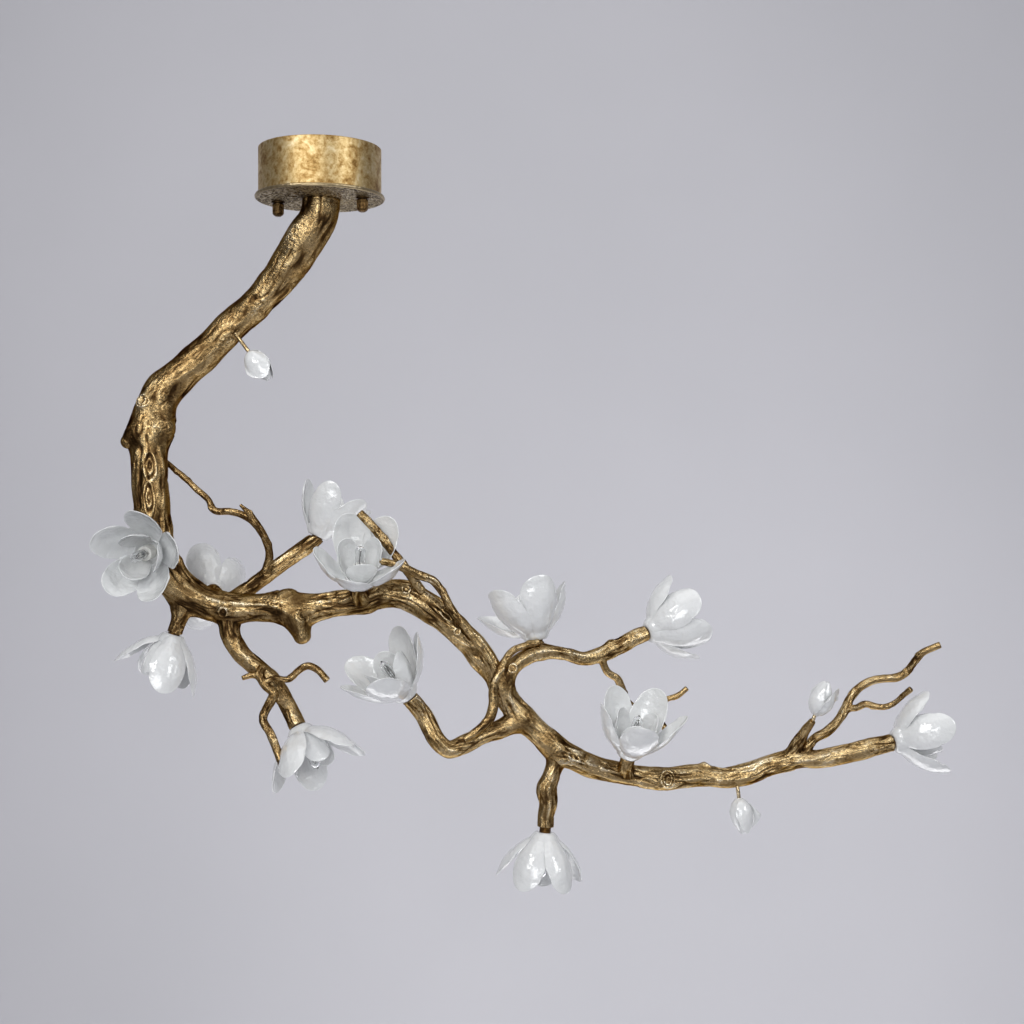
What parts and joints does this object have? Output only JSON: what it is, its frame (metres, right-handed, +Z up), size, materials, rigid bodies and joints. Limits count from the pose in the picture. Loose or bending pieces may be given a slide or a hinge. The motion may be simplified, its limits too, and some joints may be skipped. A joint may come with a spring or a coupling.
{
  "type": "branch chandelier",
  "caption": "Ceiling light shaped as a cast metal tree branch with white porcelain blossoms, each round a small capsule bulb.",
  "frame": {"origin": "centre of the ceiling plate's bolt circle, on the ceiling plane", "axes": "+Z up to the ceiling, +X along the long limb to the right of the picture, -Y towards the viewer"},
  "size_m": [1.1691, 0.3051, 1.0398],
  "materials": {
    "ceiling_plate": "zinc plated",
    "studs": "zinc plated thread",
    "lock_nuts": "zinc plated",
    "canopy_drum": "mottled antique brass",
    "canopy_base_plate": "hammered antique brass",
    "terminal_block": "moulded",
    "nipple": "zinc plated thread",
    "washers": "antique brass",
    "thumb_nuts": "antique brass, knurled",
    "branch_brass": "antique gold with dark patina in the bark",
    "stem_brass": "antique gold, smooth",
    "sleeve_brass": "dark bronze",
    "holder_ceramic": "unglazed steatite",
    "porcelain": "white gloss glaze",
    "bulb_glass": "clear halogen capsule"
  },
  "bodies": {
    "fixture": {"ceiling_plate": "ceiling_plate", "ceiling_studs": "studs", "stud_lock_nuts": "lock_nuts", "canopy_drum": "canopy_drum", "canopy_base_plate": "canopy_base_plate", "terminal_block": "terminal_block", "trunk_nipple": "nipple", "trunk_lock_nut": "lock_nuts", "trunk": "branch_brass", "limb_left": "branch_brass", "limb_mid": "branch_brass", "limb_right": "branch_brass", "branch_front_left": "branch_brass", "branch_back_left": "branch_brass", "branch_lower_left": "branch_brass", "branch_lower": "branch_brass", "branch_upper_left": "branch_brass", "branch_front": "branch_brass", "branch_centre": "branch_brass", "branch_right_fork": "branch_brass", "branch_hanging": "branch_brass", "flower_stems": "branch_brass", "twig_trunk": "branch_brass", "twig_lower": "branch_brass", "twig_front": "branch_brass", "twig_crossing": "branch_brass", "twig_right_down": "branch_brass", "twig_end": "branch_brass", "bud_stems": "stem_brass", "buds": "porcelain", "flower_sleeves": "sleeve_brass", "lamp_holders": "holder_ceramic", "flower_01": "porcelain", "flower_02": "porcelain", "flower_03": "porcelain", "flower_04": "porcelain", "flower_05": "porcelain", "flower_06": "porcelain", "flower_07": "porcelain", "flower_08": "porcelain", "flower_09": "porcelain", "flower_10": "porcelain", "flower_11": "porcelain", "flower_12": "porcelain"},
    "washer_left": {"stud_washer_left": "washers"},
    "nut_left": {"thumb_nut_left": "thumb_nuts"},
    "washer_right": {"stud_washer_right": "washers"},
    "nut_right": {"thumb_nut_right": "thumb_nuts"},
    "bulb_01": {"bulb_01": "bulb_glass"},
    "bulb_02": {"bulb_02": "bulb_glass"},
    "bulb_03": {"bulb_03": "bulb_glass"},
    "bulb_04": {"bulb_04": "bulb_glass"},
    "bulb_05": {"bulb_05": "bulb_glass"},
    "bulb_06": {"bulb_06": "bulb_glass"},
    "bulb_07": {"bulb_07": "bulb_glass"},
    "bulb_08": {"bulb_08": "bulb_glass"},
    "bulb_09": {"bulb_09": "bulb_glass"},
    "bulb_10": {"bulb_10": "bulb_glass"},
    "bulb_11": {"bulb_11": "bulb_glass"},
    "bulb_12": {"bulb_12": "bulb_glass"}
  },
  "joints": [
    {"name": "washer_left_drop", "type": "slide", "parent": "fixture", "child": "washer_left", "axis": [0, 0, -1], "range_m": [0, 0.0125]},
    {"name": "nut_left_turn", "type": "hinge", "parent": "washer_left", "child": "nut_left", "pos_m": [-0.06097, 0.01588, -0.0822], "axis": [0, 0, -1], "range_deg": [0, 3600]},
    {"name": "washer_right_drop", "type": "slide", "parent": "fixture", "child": "washer_right", "axis": [0, 0, -1], "range_m": [0, 0.0125]},
    {"name": "nut_right_turn", "type": "hinge", "parent": "washer_right", "child": "nut_right", "pos_m": [0.06097, -0.01588, -0.0822], "axis": [0, 0, -1], "range_deg": [0, 3600]},
    {"name": "bulb_01_pull", "type": "slide", "parent": "fixture", "child": "bulb_01", "axis": [-0.1201, -0.9855, -0.1201], "range_m": [0, 0.055]},
    {"name": "bulb_02_pull", "type": "slide", "parent": "fixture", "child": "bulb_02", "axis": [-0.3047, 0.9446, 0.1219], "range_m": [0, 0.055]},
    {"name": "bulb_03_pull", "type": "slide", "parent": "fixture", "child": "bulb_03", "axis": [-0.2999, -0.02, -0.9538], "range_m": [0, 0.055]},
    {"name": "bulb_04_pull", "type": "slide", "parent": "fixture", "child": "bulb_04", "axis": [0.4603, -0.2702, -0.8456], "range_m": [0, 0.055]},
    {"name": "bulb_05_pull", "type": "slide", "parent": "fixture", "child": "bulb_05", "axis": [0.4181, 0.1493, 0.896], "range_m": [0, 0.055]},
    {"name": "bulb_06_pull", "type": "slide", "parent": "fixture", "child": "bulb_06", "axis": [0.1003, -0.6623, 0.7425], "range_m": [0, 0.055]},
    {"name": "bulb_07_pull", "type": "slide", "parent": "fixture", "child": "bulb_07", "axis": [-0.5697, -0.2599, 0.7796], "range_m": [0, 0.055]},
    {"name": "bulb_08_pull", "type": "slide", "parent": "fixture", "child": "bulb_08", "axis": [-0.2212, 0.1407, 0.965], "range_m": [0, 0.055]},
    {"name": "bulb_09_pull", "type": "slide", "parent": "fixture", "child": "bulb_09", "axis": [0.8834, 0.3413, 0.3212], "range_m": [0, 0.055]},
    {"name": "bulb_10_pull", "type": "slide", "parent": "fixture", "child": "bulb_10", "axis": [0.2209, -0.2812, 0.9339], "range_m": [0, 0.055]},
    {"name": "bulb_11_pull", "type": "slide", "parent": "fixture", "child": "bulb_11", "axis": [-0.0801, -0.04, -0.996], "range_m": [0, 0.055]},
    {"name": "bulb_12_pull", "type": "slide", "parent": "fixture", "child": "bulb_12", "axis": [0.9692, 0.1413, 0.2019], "range_m": [0, 0.055]}
  ],
  "couplings": [
    {"joint": "washer_left_drop", "follows": "nut_left_turn", "m_per_rad": 0.00019894},
    {"joint": "washer_right_drop", "follows": "nut_right_turn", "m_per_rad": 0.00019894}
  ]
}
